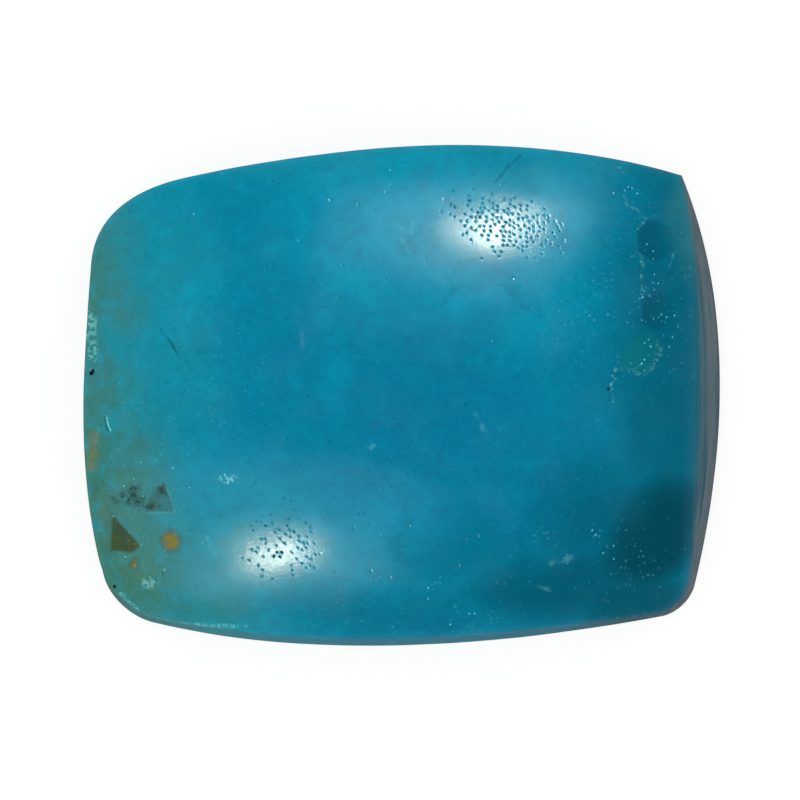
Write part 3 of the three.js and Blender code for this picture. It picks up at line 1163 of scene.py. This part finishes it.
def far_panel_light(shade, place):
    """Even up to a step, dimmer above it, and soft towards the leaning end."""
    across, up = shade.split(place)[:2]
    step = shade.math("ADD", shade.rise(up, 26.0, 6.0, 0.55), shade.rise(up, 100.0, 10.0, 0.45))
    return shade.times(step, shade.rise(across, -90.0, -45.0))


def near_panel_light(shade, place):
    """Brightest at the blunt end, and soft above and towards the leaning end."""
    across = shade.split(place)[0]
    slant = shade.vector("DOT_PRODUCT", place, (-0.6, 0.8, 0))
    return shade.times(shade.rise(across, 120.0, 20.0), shade.rise(slant, 72.0, 35.0))


def build_lamp(name, stand, distance, radiance, light_at):
    """An area lamp that faces the stone and that only reflections show.

    light_at gives the share of the radiance at a place, in millimetres from the lamp's middle.
    """
    direction, size = stand
    lamp = bpy.data.lights.new(name, "AREA")
    lamp.shape = "RECTANGLE"
    lamp.size, lamp.size_y = (side * MM for side in size)
    lamp.energy = radiance * np.pi * lamp.size * lamp.size_y
    lamp.color = LAMP_COLOUR
    shade = Shade(lamp, "Emission")
    share = shade.add("ShaderNodeNewGeometry").outputs["Parametric"]
    place = shade.vector("MULTIPLY", shade.vector("SUBTRACT", share, (0.5, 0.5, 0)), (*size, 0))
    shade.set("Strength", light_at(shade, place))
    holder = new_object(name, lamp)
    outward = Vector(direction).normalized()
    holder.location = outward * distance
    holder.rotation_euler = outward.to_track_quat("Z", "Y").to_euler()
    holder.visible_camera = False
    holder.visible_diffuse = False


def build_table(settings):
    """A round, pale, evenly lit table top under the stone."""
    bm = bmesh.new()
    bmesh.ops.create_circle(bm, cap_ends=True, segments=96, radius=settings.table_radius)
    bmesh.ops.translate(bm, verts=bm.verts, vec=(0, 0, -TABLE_GAP * MM))
    mesh = bpy.data.meshes.new("table")
    bm.to_mesh(mesh)
    bm.free()
    table = new_object("table", mesh)
    material = bpy.data.materials.new("pale table")
    shade = Shade(material, "Principled BSDF")
    shade.set("Base Color", (0.3, 0.3, 0.3))
    shade.set("Roughness", 0.8)
    shade.set("Specular IOR Level", 0.0)
    shade.set("Emission Color", (1, 1, 1))
    shade.set("Emission Strength", settings.table_glow)
    mesh.materials.append(material)
    table.visible_glossy = False


def build_surroundings(settings):
    """A pale room that lights the stone evenly, and that it mirrors as dark above and dim below."""
    world = bpy.data.worlds.new("room")
    shade = Shade(world, "Background")
    height = shade.split(shade.add("ShaderNodeTexCoord").outputs["Generated"])[2]
    mirrored = shade.mix(shade.rise(height, -0.2, 0.22), (0.11, 0.11, 0.11), (0.004, 0.004, 0.004))
    rays = shade.add("ShaderNodeLightPath").outputs
    even = shade.mix(rays["Is Camera Ray"], (settings.room_light,) * 3, (0.85, 0.85, 0.85))
    shade.set("Color", shade.mix(rays["Is Glossy Ray"], even, mirrored))
    world.cycles.sampling_method = "NONE"
    bpy.context.scene.world = world


class OPAL_OT_set_stage(bpy.types.Operator):
    """Set up the camera, the table and the lamps"""

    bl_idname = "opal.set_stage"
    bl_label = "Set Stage"

    def execute(self, context):
        settings = context.scene.opal_stage
        lamp_distance = settings.lamp_distance
        panel_distance = lamp_distance * PANEL_DISTANCE
        panel_brightness = settings.panel_brightness
        build_camera(settings)
        build_table(settings)
        build_surroundings(settings)
        build_lamp("far lamp", FAR_LAMP, lamp_distance, settings.far_brightness, far_lamp_light)
        build_lamp("far panel", FAR_PANEL, panel_distance, panel_brightness, far_panel_light)
        build_lamp("near lamp", NEAR_LAMP, lamp_distance, settings.near_brightness, near_lamp_light)
        build_lamp("near panel", NEAR_PANEL, panel_distance, panel_brightness, near_panel_light)
        context.scene.view_settings.view_transform = "Standard"
        return {"FINISHED"}


class OPAL_PT_panel(bpy.types.Panel):
    """Lists the stone's steps and settings"""

    bl_idname = "OPAL_PT_panel"
    bl_label = "Blue Opal Cabochon"
    bl_space_type = "VIEW_3D"
    bl_region_type = "UI"
    bl_category = "Opal"

    def draw(self, context):
        scene = context.scene
        for operator, groups in (
            (OPAL_OT_cut_stone, (scene.opal_sizes, scene.opal_colours)),
            (OPAL_OT_set_stage, (scene.opal_stage,)),
        ):
            box = self.layout.box()
            box.operator(operator.bl_idname)
            for group in groups:
                for name in group.__annotations__:
                    box.prop(group, name)


GROUPS = {"opal_sizes": StoneSizes, "opal_colours": StoneColours, "opal_stage": StageSettings}
CLASSES = (*GROUPS.values(), OPAL_OT_cut_stone, OPAL_OT_set_stage, OPAL_PT_panel)


def register():
    for cls in CLASSES:
        bpy.utils.register_class(cls)
    for name, group in GROUPS.items():
        setattr(bpy.types.Scene, name, PointerProperty(type=group))


def unregister():
    for name in GROUPS:
        delattr(bpy.types.Scene, name)
    for cls in reversed(CLASSES):
        bpy.utils.unregister_class(cls)


def main():
    register()
    bpy.ops.opal.cut_stone()
    bpy.ops.opal.set_stage()


if __name__ == "__main__":
    main()
